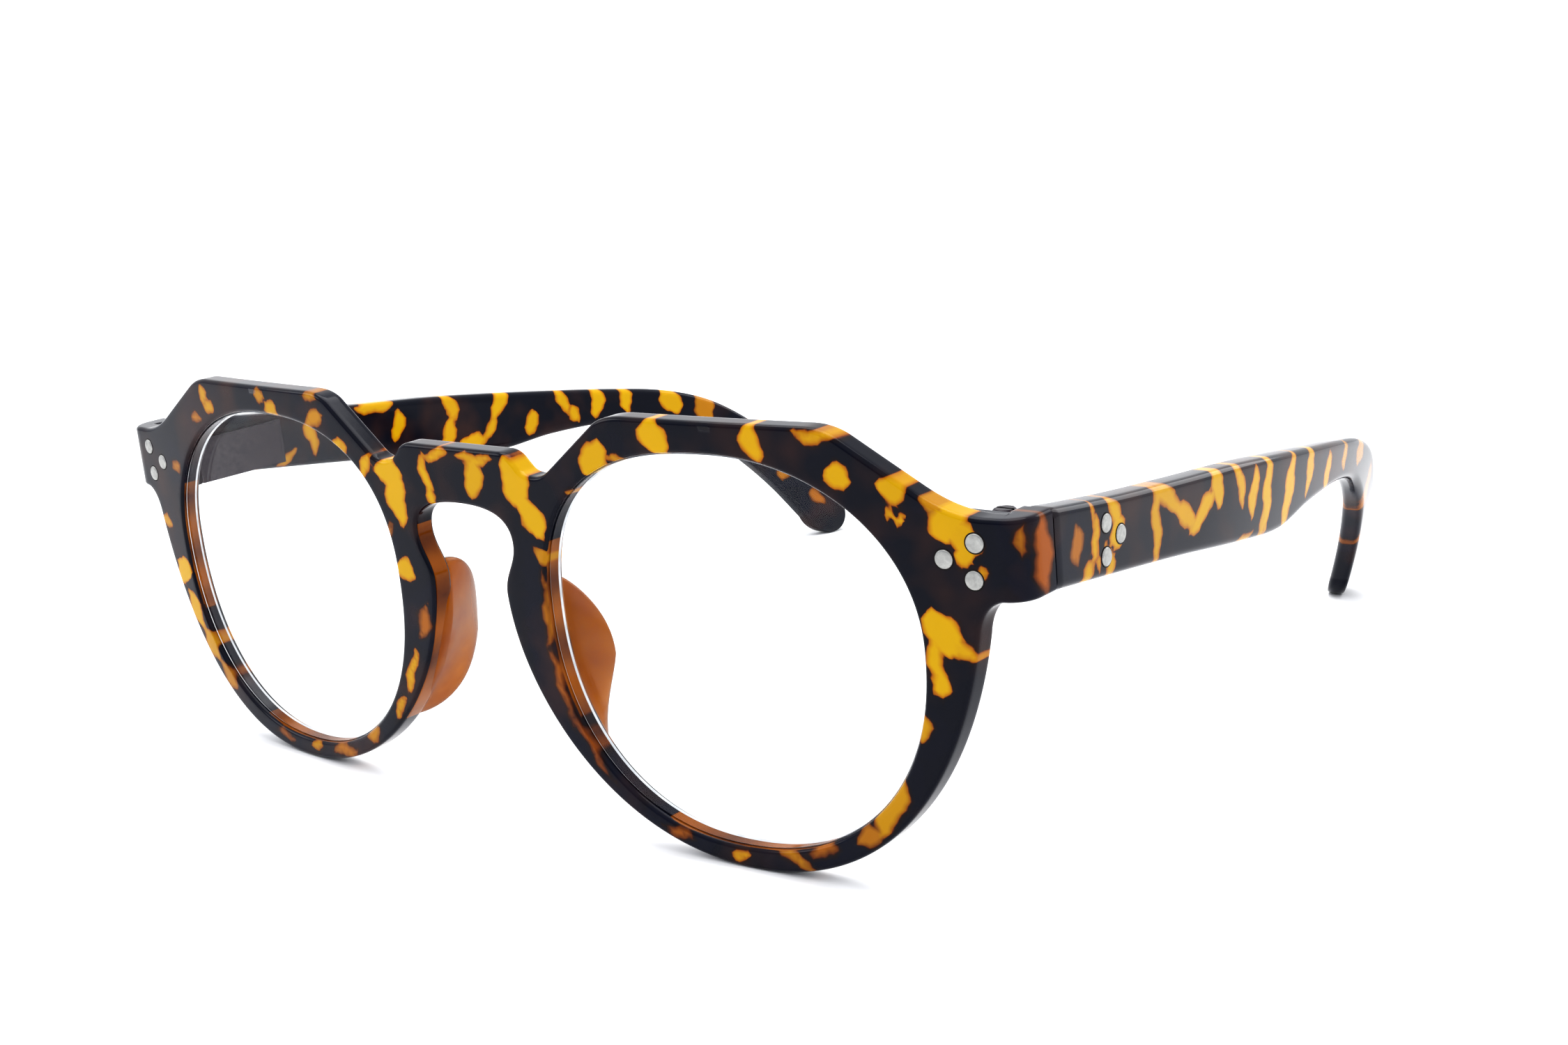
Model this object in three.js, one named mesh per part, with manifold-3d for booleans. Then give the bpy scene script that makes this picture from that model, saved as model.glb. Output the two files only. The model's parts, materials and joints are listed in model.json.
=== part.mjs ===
// Reading glasses: a one-piece front with two lenses, bonded nose pads, riveted hinges and two
// folding temples.  Millimetres.  +Z is up, the front faces -Y and the temples run back to +Y.
// Left is the wearer's left, which is +X.
import * as THREE from "three";
import { mergeVertices } from "three/addons/utils/BufferGeometryUtils.js";
import Module from "manifold-3d";

const wasm = await Module();
wasm.setup();

// ---- driving dimensions, mm --------------------------------------------------------------------
// Heights in this block are measured from the upper rivet of the front, in the front's own frame.
const FACE_CURVE = 2.19e-3;      // the front surface lies at y = FACE_CURVE / 2 * x^2
const FRONT_THICK = 2.8;         // front to back through a rim
const FRONT_ROUND = 0.45;        // rounding of the front's edges
const EYE_X = 36.05;             // middle of a lens opening
const EYE_Z = -11.5;             // height of its widest line
const EYE_HALF_WIDTH = 23.65;
const EYE_ABOVE = 18.5;          // opening above the widest line
const EYE_BELOW = 23.45;         // opening below it
const RIM_BOTTOM_X = 37;
const RIM_BOTTOM_Z = -37.3;
const SIDE_X = 71;               // outer side of the front at the hinges
const END_TOP = 2.35;            // endpiece: the block that carries a hinge
const END_BOTTOM = -5.7;
const END_BACK = 10.4;           // where the endpiece stops and the temple starts
const END_CORNER = 3.1;
const END_WALL = 3.6;            // thickness of the endpiece's side wall
const HINGE_SEAT = 8.6;          // flat back of the endpiece, where the hinge leaf sits

const LENS_THICK = 1.6;
const LENS_SEAT = 1.4;           // depth of the lens's middle behind the front surface
const LENS_OVERLAP = 0.55;       // how far the lens's edge reaches into the groove
const LENS_GAP = 0.25;

const PAD_THICK = 2.3;
const PAD_BASE = 2.6;            // its widest line lies this far behind the front surface
const PAD_DEPTH = 7.4;           // reach behind that line
const PAD_Z = -18.8;
const PAD_HALF_HEIGHT = 10.2;
const PAD_SEAT_BOW = 1.4;        // reach in front of it, let into the rim
const PAD_FULLNESS = 0.6;        // 1 is an ellipsoid, smaller is flatter with fuller edges
const PAD_GAP = 0.2;

const TEMPLE_THICK = 3.6;
const TEMPLE_START = 10.7;
const TEMPLE_SPLAY = -0.055;     // the temples draw together towards the ears
const TEMPLE_BEND_DIP = 50;      // degrees below the temple's line in which it curves inwards
const TEMPLE_BEND_START = 32.4;
const TEMPLE_BEND_RADIUS = 166.6;
const TEMPLE_TIP_THICK = 2.9;
const TEMPLE_SQUARENESS = 0.35;  // 1 is an elliptical section, smaller is closer to a rectangle

const PIVOT_X = 65.6;
const PIVOT_Y = 10.55;
const KNUCKLE_RADIUS = 1.3;
const KNUCKLE_GAP = 0.12;
const HINGE_LOW = -4.6;
const HINGE_HIGH = 1.2;
const LEAF_THICK = 0.8;
const LEAF_GAP = 0.15;
const SCREW_RADIUS = 0.6;
const SCREW_CLEARANCE = 0.06;
const SCREW_HEAD_RADIUS = 1.2;

const RIVET_HEAD_RADIUS = 0.95;
const RIVET_HEAD_THICK = 0.55;
const RIVET_PROUD = 0.18;
const RIVET_SHANK_RADIUS = 0.5;
const RIVET_GAP = 0.08;
const FRONT_RIVETS = { upper: [66.0, 0], lower: [65.7, -3.6], inner: [62.7, -1.75] };
const TEMPLE_RIVETS = { upper: [20.5, -1.7], lower: [20.2, -5.0], rear: [23.3, -3.5] };

// ---- colours -----------------------------------------------------------------------------------
const tortoiseshell = { color: 0x3a1c0c, roughness: 0.25, metalness: 0 };
const amber = { color: 0xc8691e, roughness: 0.3, metalness: 0, transparent: true, opacity: 0.85 };
const clear = { color: 0xf4f8fa, roughness: 0.05, metalness: 0, transparent: true, opacity: 0.3 };
const silver = { color: 0xb9bcc0, roughness: 0.35, metalness: 1 };

// ---- solids ------------------------------------------------------------------------------------
function solid(geometry) {
  const g = geometry.clone();
  g.deleteAttribute("normal");
  g.deleteAttribute("uv");
  const merged = mergeVertices(g, 1e-4);
  return new wasm.Manifold(new wasm.Mesh({
    numProp: 3,
    vertProperties: Float32Array.from(merged.attributes.position.array),
    triVerts: Uint32Array.from(merged.index.array),
  }));
}

function geometryOf(manifold) {
  const mesh = manifold.getMesh();
  const g = new THREE.BufferGeometry();
  g.setAttribute("position", new THREE.BufferAttribute(Float32Array.from(mesh.vertProperties), 3));
  g.setIndex(new THREE.BufferAttribute(Uint32Array.from(mesh.triVerts), 1));
  return g;
}

// An extrusion whose edges are rounded inside the given outline, so the outline is its full size.
function rounded(shape, thickness, round, segments, curveSegments) {
  return new THREE.ExtrudeGeometry(shape, {
    depth: thickness - 2 * round,
    bevelEnabled: true,
    bevelThickness: round,
    bevelSize: round,
    bevelOffset: -round,
    bevelSegments: segments,
    curveSegments,
  }).translate(0, 0, round);
}

// Moves every vertex (u, v, w) of a flat extrusion to its place in the glasses.
function placed(geometry, place) {
  const g = geometry.clone();
  const position = g.attributes.position;
  for (let i = 0; i < position.count; i += 1) {
    const [x, y, z] = place(position.getX(i), position.getY(i), position.getZ(i));
    position.setXYZ(i, x, y, z);
  }
  return g;
}

// The same body on the other side of the middle plane.
function mirrored(geometry) {
  const g = placed(geometry, (x, y, z) => [-x, y, z]);
  const corners = Array.from(g.index.array);
  for (let i = 0; i < corners.length; i += 3) {
    [corners[i + 1], corners[i + 2]] = [corners[i + 2], corners[i + 1]];
  }
  g.setIndex(corners);
  return g;
}

const faceY = (x) => (FACE_CURVE / 2) * x * x;

// Drawn as x across and z up, extruded towards the viewer: depth is where its front surface lies.
const onFace = (thickness, depth) => (u, v, w) => [u, faceY(u) + depth + thickness - w, v];

// ---- front -------------------------------------------------------------------------------------
// A quarter of the lens opening is a super-ellipse: flatter above, rounder below.
function eyeOutline(grow) {
  const quarters = [
    { from: 0, height: EYE_ABOVE, power: 2.1 },
    { from: 90, height: EYE_ABOVE, power: 2.45 },
    { from: 180, height: EYE_BELOW, power: 2.2 },
    { from: 270, height: EYE_BELOW, power: 2.2 },
  ];
  const STEPS = 12;
  const points = [];
  for (const { from, height, power } of quarters) {
    for (let i = 0; i < STEPS; i += 1) {
      const angle = THREE.MathUtils.degToRad(from + (90 * i) / STEPS);
      const c = Math.cos(angle);
      const s = Math.sin(angle);
      const x = Math.sign(c) * Math.abs(c) ** (2 / power) * (EYE_HALF_WIDTH + grow);
      const z = Math.sign(s) * Math.abs(s) ** (2 / power) * (height + grow);
      points.push(new THREE.Vector2(EYE_X + x, EYE_Z + z));
    }
  }
  return points;
}

// Outline of the left half, from the middle of the bridge's top clockwise to the top of the keyhole.
function traceHalfFront(path) {
  path.lineTo(7.4, 5.5);
  path.quadraticCurveTo(8.7, 5.45, 9.6, 4.4);
  path.lineTo(10.4, 3.6);
  path.quadraticCurveTo(11.0, 3.15, 12.2, 3.1);
  path.quadraticCurveTo(13.6, 3.1, 14.6, 3.9);
  path.lineTo(21.6, 9.3);
  path.quadraticCurveTo(23.0, 10.3, 25.6, 10.35);
  path.lineTo(48.2, 10.3);
  path.quadraticCurveTo(50.4, 10.25, 52.2, 9.15);
  path.lineTo(59.8, 4.55);
  path.quadraticCurveTo(63.2, 2.5, 66.6, END_TOP);
  path.lineTo(69.4, END_TOP);
  path.lineTo(69.4, END_BOTTOM);
  path.lineTo(68.2, END_BOTTOM);
  path.quadraticCurveTo(66.0, -6.2, 65.6, -9.5);
  path.bezierCurveTo(63.3, -22, 56, RIM_BOTTOM_Z, RIM_BOTTOM_X, RIM_BOTTOM_Z);
  path.bezierCurveTo(18.5, RIM_BOTTOM_Z, 6.6, -22.5, 6.0, -10.5);
  path.bezierCurveTo(6.0, -8.2, 7.9, -7.0, 7.9, -4.8);
  path.bezierCurveTo(7.9, -1.6, 4.2, -0.9, 0, -0.9);
}

function frontShape() {
  const CURVE_STEPS = 6;
  const half = new THREE.Path();
  half.moveTo(0, 5.5);
  traceHalfFront(half);
  const left = half.getPoints(CURVE_STEPS);
  const right = left.slice(1, -1).reverse().map((p) => new THREE.Vector2(-p.x, p.y));
  const shape = new THREE.Shape([...left.slice(1), ...right]);
  const eye = eyeOutline(0);
  shape.holes.push(new THREE.Path(eye));
  shape.holes.push(new THREE.Path(eye.map((p) => new THREE.Vector2(-p.x, p.y)).reverse()));
  return shape;
}

// The endpiece in plan: it carries the front's curve round the corner to the temple.
function endpiece() {
  const plan = new THREE.Shape();
  const cornerX = SIDE_X - END_CORNER;
  const cornerY = faceY(cornerX) + END_CORNER;
  plan.moveTo(60.8, HINGE_SEAT);
  plan.lineTo(60.8, 6.6);
  plan.lineTo(63.4, faceY(63.4) + 0.02);
  plan.lineTo(cornerX, cornerY - END_CORNER);
  plan.absarc(cornerX, cornerY, END_CORNER, -Math.PI / 2, 0, false);
  plan.lineTo(SIDE_X, END_BACK);
  plan.lineTo(SIDE_X - END_WALL, END_BACK);
  plan.lineTo(SIDE_X - END_WALL, HINGE_SEAT);
  return solid(rounded(plan, END_TOP - END_BOTTOM, 0.5, 1, 6).translate(0, 0, END_BOTTOM));
}

function lensBody(edge, face, thickness, ridge) {
  const bevel = (thickness - ridge) / 2;
  const shape = new THREE.Shape(eyeOutline(edge));
  const g = new THREE.ExtrudeGeometry(shape, {
    depth: ridge,
    bevelEnabled: true,
    bevelThickness: bevel,
    bevelSize: edge - face,
    bevelOffset: face - edge,
    bevelSegments: 1,
  }).translate(0, 0, bevel);
  return solid(placed(g, onFace(thickness, LENS_SEAT - thickness / 2)));
}

// ---- nose pads ---------------------------------------------------------------------------------
// Nose side of the pad: it leaves the rim's outline at the base and straightens towards the back.
function padSurfaceX(z, depth) {
  const below = Math.max(0, -11 - z);
  const atRim = 6.05 + 0.0285 * below * below;
  const atBack = 10.5 - 0.02 * (z + 22) ** 2;
  const t = Math.max(0, depth / PAD_DEPTH);
  return atRim * (1 - t) + atBack * t;
}

// A ball pressed into a rounded tablet and bent along the rim.  The gap and the extra width on the
// nose side make the pocket that is cut for it.
function pad(gap, extra) {
  const place = (u, v, w) => {
    const across = Math.sign(v) * Math.abs(v) ** PAD_FULLNESS;
    const r = Math.hypot(u, w);
    const spread = r > 0 ? r ** PAD_FULLNESS / r : 0;
    const z = PAD_Z + (PAD_HALF_HEIGHT + gap) * u * spread;
    const depth = ((w > 0 ? PAD_DEPTH : PAD_SEAT_BOW) + gap) * w * spread;
    const half = PAD_THICK / 2 + gap + (v < 0 ? extra : 0);
    return [padSurfaceX(z, depth) + PAD_THICK / 2 + half * across, PAD_BASE + faceY(9) + depth, z];
  };
  return solid(placed(new THREE.SphereGeometry(1, 20, 12), place));
}

// ---- temples -----------------------------------------------------------------------------------
const bendDip = THREE.MathUtils.degToRad(TEMPLE_BEND_DIP);

// Outer face of the left temple: straight at first, then curving inwards along the ear hook.
function templeX(y, z) {
  const along = y * Math.cos(bendDip) - z * Math.sin(bendDip);
  const bend = Math.max(0, along - TEMPLE_BEND_START);
  return SIDE_X + TEMPLE_SPLAY * (y - END_BACK) - (bend * bend) / (2 * TEMPLE_BEND_RADIUS);
}

// Upper and lower edge of the temple in side view, from the hinge to where its tip rounds off.
const templeTop = new THREE.SplineCurve([
  [TEMPLE_START, END_TOP - 0.1], [24, 0.2], [38, -1.6], [52, -3.3], [64, -5.1], [75, -6.9], [86, -8.8],
  [96, -10.9], [104, -13.9], [110.5, -18.4], [116, -24.3], [120.3, -30.4], [123.2, -35.6],
].map(([y, z]) => new THREE.Vector2(y, z)));
const templeBottom = new THREE.SplineCurve([
  [TEMPLE_START, END_BOTTOM - 0.1], [24, -7.7], [38, -9.8], [52, -12.2], [63.5, -13.9], [74, -13.5], [85, -14],
  [93.5, -15.6], [99.5, -18.2], [105, -22], [109, -26.2], [112.6, -31], [115.8, -36.6],
].map(([y, z]) => new THREE.Vector2(y, z)));

// A bar of rounded rectangular section between the two edges, with a round tip.
function templeBlank() {
  const BAR_ROWS = 36;
  const TIP_ROWS = 5;
  const rows = BAR_ROWS + TIP_ROWS;
  const bar = new THREE.CylinderGeometry(1, 1, rows, 16, rows);
  const squared = (t) => {
    const even = Math.round(t * 1e5) / 1e5;
    return Math.sign(even) * Math.abs(even) ** TEMPLE_SQUARENESS;
  };
  return solid(placed(bar, (u, v, w) => {
    const row = v + rows / 2;
    const along = Math.min(1, row / BAR_ROWS);
    const turn = Math.max(0, row - BAR_ROWS) / TIP_ROWS * 1.45;
    const top = templeTop.getPoint(along);
    const bottom = templeBottom.getPoint(along);
    const half = top.clone().sub(bottom).multiplyScalar(0.5);
    const onwards = new THREE.Vector2(half.y, -half.x);
    const middle = top.clone().add(bottom).multiplyScalar(0.5);
    const thick = THREE.MathUtils.lerp(TEMPLE_THICK, TEMPLE_TIP_THICK, along) * (1 - 0.35 * (turn / 1.45) ** 2);
    const up = squared(u) * Math.cos(turn);
    const y = middle.x + half.x * up + onwards.x * Math.sin(turn);
    const z = middle.y + half.y * up + onwards.y * Math.sin(turn);
    const inset = (TEMPLE_THICK - thick) / 2;
    return [templeX(y, z) - inset - (thick / 2) * (1 + squared(w)), y, z];
  }));
}

// ---- hinges ------------------------------------------------------------------------------------
function drum(radius, low, high) {
  return solid(new THREE.CylinderGeometry(radius, radius, high - low, 16)
    .rotateX(Math.PI / 2)
    .translate(PIVOT_X, PIVOT_Y, (low + high) / 2));
}

function block(x0, x1, y0, y1, z0, z1) {
  return solid(new THREE.BoxGeometry(x1 - x0, y1 - y0, z1 - z0)
    .translate((x0 + x1) / 2, (y0 + y1) / 2, (z0 + z1) / 2));
}

const knuckleHeight = (HINGE_HIGH - HINGE_LOW) / 3;
const knuckles = [0, 1, 2].map((i) => [
  HINGE_LOW + i * knuckleHeight + (i > 0 ? KNUCKLE_GAP / 2 : 0),
  HINGE_LOW + (i + 1) * knuckleHeight - (i < 2 ? KNUCKLE_GAP / 2 : 0),
]);
const bore = drum(SCREW_RADIUS + SCREW_CLEARANCE, HINGE_LOW - 1, HINGE_HIGH + 1);

function frontLeaf() {
  const seat = HINGE_SEAT + LEAF_GAP;
  let leaf = block(61.2, 67.0, seat, seat + LEAF_THICK, HINGE_LOW, HINGE_HIGH);
  for (const [low, high] of [knuckles[0], knuckles[2]]) {
    leaf = leaf.add(drum(KNUCKLE_RADIUS, low, high));
    leaf = leaf.add(block(PIVOT_X - KNUCKLE_RADIUS, PIVOT_X, seat + 0.2, PIVOT_Y, low, high));
  }
  // The plate is hollowed where the temple's knuckle turns.
  const [low, high] = knuckles[1];
  const relief = drum(KNUCKLE_RADIUS + KNUCKLE_GAP, low - KNUCKLE_GAP, high + KNUCKLE_GAP);
  return leaf.subtract(relief).subtract(bore);
}

const LEAF_START = 12.4;
const LEAF_END = 25.6;

// The plate follows the temple's inner face.
function templeLeaf() {
  const inner = (y) => templeX(y, -3) - TEMPLE_THICK - LEAF_GAP;
  const plan = new THREE.Shape();
  plan.moveTo(inner(LEAF_START), LEAF_START);
  plan.lineTo(inner(LEAF_END), LEAF_END);
  plan.lineTo(inner(LEAF_END) - LEAF_THICK, LEAF_END);
  plan.lineTo(inner(LEAF_START) - LEAF_THICK, LEAF_START);
  const flat = { depth: 6.0, bevelEnabled: false };
  const plate = solid(new THREE.ExtrudeGeometry(plan, flat).translate(0, 0, -6.9));
  const [low, high] = knuckles[1];
  const arm = new THREE.Shape();
  arm.moveTo(PIVOT_X, PIVOT_Y);
  arm.lineTo(PIVOT_X + KNUCKLE_RADIUS, PIVOT_Y);
  arm.lineTo(inner(LEAF_START), LEAF_START);
  arm.lineTo(inner(LEAF_START), LEAF_START + 1.5);
  arm.lineTo(PIVOT_X + 0.6, LEAF_START + 0.6);
  const armDepth = { depth: high - low, bevelEnabled: false };
  const web = solid(new THREE.ExtrudeGeometry(arm, armDepth).translate(0, 0, low));
  return plate.add(web).add(drum(KNUCKLE_RADIUS, low, high)).subtract(bore);
}

function screw() {
  const headTop = HINGE_HIGH + 0.1 + 0.6;
  const outline = [
    [0, HINGE_LOW - 0.1],
    [SCREW_RADIUS, HINGE_LOW - 0.1],
    [SCREW_RADIUS, HINGE_HIGH + 0.1],
    [SCREW_HEAD_RADIUS, HINGE_HIGH + 0.1],
    [SCREW_HEAD_RADIUS, headTop - 0.2],
    [SCREW_HEAD_RADIUS - 0.2, headTop],
    [0, headTop],
  ].map(([r, h]) => new THREE.Vector2(r, h));
  const body = solid(new THREE.LatheGeometry(outline, 16)
    .rotateX(Math.PI / 2)
    .translate(PIVOT_X, PIVOT_Y, 0));
  const slot = block(PIVOT_X - 2, PIVOT_X + 2, PIVOT_Y - 0.15, PIVOT_Y + 0.15, headTop - 0.3, headTop + 1);
  return body.subtract(slot);
}

// ---- rivets ------------------------------------------------------------------------------------
// A rivet standing on +Y: the top of its head is at height 0 and its shank runs down.
function rivet(length) {
  const outline = [
    [0, -length],
    [RIVET_SHANK_RADIUS, -length],
    [RIVET_SHANK_RADIUS, -RIVET_HEAD_THICK],
    [RIVET_HEAD_RADIUS, -RIVET_HEAD_THICK],
    [RIVET_HEAD_RADIUS, -0.15],
    [RIVET_HEAD_RADIUS - 0.15, 0],
    [0, 0],
  ].map(([r, h]) => new THREE.Vector2(r, h));
  return new THREE.LatheGeometry(outline, 14);
}

// The hole that takes it.
function rivetHole(length) {
  const outline = [
    [0, -length - RIVET_GAP],
    [RIVET_SHANK_RADIUS + RIVET_GAP, -length - RIVET_GAP],
    [RIVET_SHANK_RADIUS + RIVET_GAP, -RIVET_HEAD_THICK - RIVET_GAP],
    [RIVET_HEAD_RADIUS + RIVET_GAP, -RIVET_HEAD_THICK - RIVET_GAP],
    [RIVET_HEAD_RADIUS + RIVET_GAP, 1],
    [0, 1],
  ].map(([r, h]) => new THREE.Vector2(r, h));
  return new THREE.LatheGeometry(outline, 14);
}

// Front rivets point forwards; their shanks end inside the hinge leaf.
function inFront(shape, [x, z]) {
  const head = faceY(x) - RIVET_PROUD;
  const end = HINGE_SEAT + LEAF_GAP + LEAF_THICK - 0.2;
  return solid(shape(end - head).rotateX(Math.PI).translate(x, head, z));
}

// Temple rivets point outwards.
function inTemple(shape, [y, z]) {
  const length = TEMPLE_THICK + LEAF_GAP + LEAF_THICK - 0.2 + RIVET_PROUD;
  return solid(shape(length).rotateZ(-Math.PI / 2).translate(templeX(y, z) + RIVET_PROUD, y, z));
}

function withHoles(body, rivets, place) {
  let drilled = body;
  for (const position of Object.values(rivets)) {
    drilled = drilled.subtract(place(rivetHole, position));
  }
  return drilled;
}

// ---- assembly, left half first -----------------------------------------------------------------
const bothSides = (left) => [left, solid(mirrored(geometryOf(left)))];

function frontFrame() {
  let frame = solid(placed(rounded(frontShape(), FRONT_THICK, FRONT_ROUND, 1, 1), onFace(FRONT_THICK, 0)));
  for (const part of bothSides(endpiece())) {
    frame = frame.add(part);
  }
  const cuts = [
    lensBody(LENS_OVERLAP + LENS_GAP, 0, LENS_THICK + 0.3, 0.7),
    pad(PAD_GAP, 1.6),
    ...Object.values(FRONT_RIVETS).map((position) => inFront(rivetHole, position)),
  ];
  for (const cut of cuts) {
    for (const part of bothSides(cut)) {
      frame = frame.subtract(part);
    }
  }
  return frame;
}

const leftParts = {
  lens: [lensBody(LENS_OVERLAP, -LENS_GAP, LENS_THICK, 0.3), clear],
  nose_pad: [pad(0, 0), amber],
  hinge_front_leaf: [withHoles(frontLeaf(), FRONT_RIVETS, inFront), silver],
  hinge_screw: [screw(), silver],
  hinge_temple_leaf: [withHoles(templeLeaf(), TEMPLE_RIVETS, inTemple), silver],
  temple: [withHoles(templeBlank(), TEMPLE_RIVETS, inTemple), tortoiseshell],
};
for (const [name, position] of Object.entries(FRONT_RIVETS)) {
  leftParts[`front_rivet_${name}`] = [inFront(rivet, position), silver];
}
for (const [name, position] of Object.entries(TEMPLE_RIVETS)) {
  leftParts[`temple_rivet_${name}`] = [inTemple(rivet, position), silver];
}

const glasses = new THREE.Group();
glasses.name = "reading_glasses";

function addPart(name, geometry, look) {
  const mesh = new THREE.Mesh(geometry, new THREE.MeshStandardMaterial(look));
  mesh.name = name;
  glasses.add(mesh);
}

addPart("front_frame", geometryOf(frontFrame()), tortoiseshell);
for (const [name, [body, look]] of Object.entries(leftParts)) {
  const left = geometryOf(body);
  addPart(`${name}_left`, left, look);
  addPart(`${name}_right`, mirrored(left), look);
}

// ---- standing on the table: rims and temple tips touch it together ------------------------------
function lowest(name, tilt) {
  const position = glasses.getObjectByName(name).geometry.attributes.position;
  let low = Infinity;
  for (let i = 0; i < position.count; i += 1) {
    low = Math.min(low, position.getZ(i) * Math.cos(tilt) + position.getY(i) * Math.sin(tilt));
  }
  return low;
}

let tiltLow = 0;
let tiltHigh = 0.1;
for (let i = 0; i < 40; i += 1) {
  const middle = (tiltLow + tiltHigh) / 2;
  if (lowest("temple_left", middle) < lowest("front_frame", middle)) {
    tiltLow = middle;
  } else {
    tiltHigh = middle;
  }
}
for (const mesh of glasses.children) {
  mesh.geometry.rotateX(tiltLow);
}

// The origin is the middle of the glasses' footprint, on the table.
const box = new THREE.Box3().setFromObject(glasses);
for (const mesh of glasses.children) {
  mesh.geometry.translate(-(box.min.x + box.max.x) / 2, -(box.min.y + box.max.y) / 2, -box.min.z);
}

export default glasses;
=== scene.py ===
import json
import math

import bmesh
import bpy
import numpy as np
from mathutils import Matrix, Vector
from mathutils.geometry import delaunay_2d_cdt


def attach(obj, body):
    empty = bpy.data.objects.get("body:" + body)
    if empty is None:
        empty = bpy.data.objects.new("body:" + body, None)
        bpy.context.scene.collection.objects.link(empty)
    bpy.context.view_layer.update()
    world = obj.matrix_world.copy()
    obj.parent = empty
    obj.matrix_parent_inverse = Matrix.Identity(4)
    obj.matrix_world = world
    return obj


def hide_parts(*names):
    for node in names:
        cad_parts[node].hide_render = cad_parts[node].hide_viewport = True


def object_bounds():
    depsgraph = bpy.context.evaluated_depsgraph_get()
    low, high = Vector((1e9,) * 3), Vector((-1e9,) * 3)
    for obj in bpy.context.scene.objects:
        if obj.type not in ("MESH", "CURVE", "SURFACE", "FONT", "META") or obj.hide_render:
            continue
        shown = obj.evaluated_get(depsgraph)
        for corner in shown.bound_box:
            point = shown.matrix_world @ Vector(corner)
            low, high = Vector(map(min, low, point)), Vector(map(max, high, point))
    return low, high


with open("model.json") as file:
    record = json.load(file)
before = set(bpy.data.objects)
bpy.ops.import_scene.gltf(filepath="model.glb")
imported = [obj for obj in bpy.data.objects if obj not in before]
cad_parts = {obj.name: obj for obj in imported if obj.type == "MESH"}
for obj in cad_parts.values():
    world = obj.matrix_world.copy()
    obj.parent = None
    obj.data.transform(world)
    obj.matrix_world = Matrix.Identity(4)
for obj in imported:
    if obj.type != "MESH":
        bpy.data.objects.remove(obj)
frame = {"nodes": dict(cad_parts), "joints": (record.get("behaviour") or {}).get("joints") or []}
cad_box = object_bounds()

# ---- dimensions, mm ----------------------------------------------------------------------------
FACE_CURVE = 2.19e-3  # curvature of the front's face, per mm
FRONT_THICK = 2.8
FRONT_ROUND = 0.5  # radius of the front's edges
EYE_X, EYE_Z = 36.05, -11.5  # where the upper and lower halves of a lens opening meet
EYE_HALF_WIDTH, EYE_ABOVE, EYE_BELOW = 23.65, 18.5, 23.45
SIDE_X = 71.0  # the flat outer side
BRIDGE_FLAT = 7.5  # the bridge's face is flat this far to either side
END_TOP, END_BOTTOM, END_BACK = 2.35, -5.7, 10.4
END_CORNER, END_WALL, HINGE_SEAT = 3.1, 3.6, 8.6
PIVOT = (65.6, 10.55, -1.7)
# The lens's middle layer lies LENS_SEAT behind the front's face.
LENS_THICK, LENS_SEAT = 1.6, 1.4
# A pad reaches PAD_DEPTH behind and PAD_SEAT_BOW before a line that lies PAD_BASE behind the front's face.
PAD_THICK, PAD_BASE, PAD_DEPTH, PAD_SEAT_BOW = 2.3, 2.6, 7.4, 1.4
PAD_Z, PAD_HALF_HEIGHT, PAD_FULLNESS = -18.8, 10.2, 0.6
PAD_X = 9  # where the front's curve is read for the pads
PAD_TAPER = 0.35  # how much of its depth the pad loses towards its lower end
TEMPLE_THICK, TEMPLE_TIP_THICK = 3.6, 2.9
TEMPLE_START = 10.7
TEMPLE_EDGE = 0.95  # radius of the bar's long edges
TOE_IN = 0.055  # how far the temples lean towards each other, per mm of length
# The hook bends inwards from HOOK_START on, measured along a direction that dips by HOOK_DIP.
HOOK_DIP, HOOK_START, HOOK_RADIUS = math.radians(50), 32.4, 166.6
FRONT_RIVETS = {"upper": (66.0, 0.0), "lower": (65.7, -3.6), "inner": (62.7, -1.75)}
TEMPLE_RIVETS = {"upper": (20.5, -1.7), "lower": (20.2, -5.0), "rear": (23.3, -3.5)}
# Radius and height of a rivet, from the gap round it, painted dark as shade, over its rounded edge to its
# domed middle.
RIVET_OUTLINE = [(1.07, -0.3), (1.07, 0.012), (0.95, 0.014), (0.93, 0.07), (0.87, 0.12), (0.78, 0.135),
                 (0.45, 0.15), (0.2, 0.155)]
MM = 0.001

# ---- the front's frame in the row frame ----------------------------------------------------------
left_joint = next(j for j in frame["joints"] if j["pos_m"][0] > 0)
tilt = math.atan2(-left_joint["axis"][1], left_joint["axis"][2])
TURN = np.array(Matrix.Rotation(tilt, 3, "X"))
SHIFT = np.array(left_joint["pos_m"]) - TURN @ (np.array(PIVOT) * MM)


def placed(points):
    return (np.asarray(points, float) * MM) @ TURN.T + SHIFT


def face_y(x):
    return FACE_CURVE / 2 * x * x


# Where the front's curve turns into the round corner, and where that ends in the side wall.  FLAT_END is
# the joint with the temple.  CORNER_END and FLAT_END are measured along the surface.
CORNER_START = 68.36
CORNER_ANGLE = math.atan(FACE_CURVE * CORNER_START)
CORNER_X = SIDE_X - END_CORNER
CORNER_Y = face_y(CORNER_START) + END_CORNER * math.cos(CORNER_ANGLE)
CORNER_END = CORNER_START + END_CORNER * (math.pi / 2 - CORNER_ANGLE)
FLAT_END = CORNER_END + END_BACK - CORNER_Y
THICKENING = 2  # the wall starts to thicken this far before the corner


# ---- camera and lights ---------------------------------------------------------------------------
CAMERA_SPOT = (174.42, -146.779, 51.356)
CAMERA_ANGLES = (40.897, 14.407, -5.421)  # azimuth, elevation and roll in degrees
CAMERA_LENS, SENSOR_WIDTH = 48.026, 36


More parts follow.
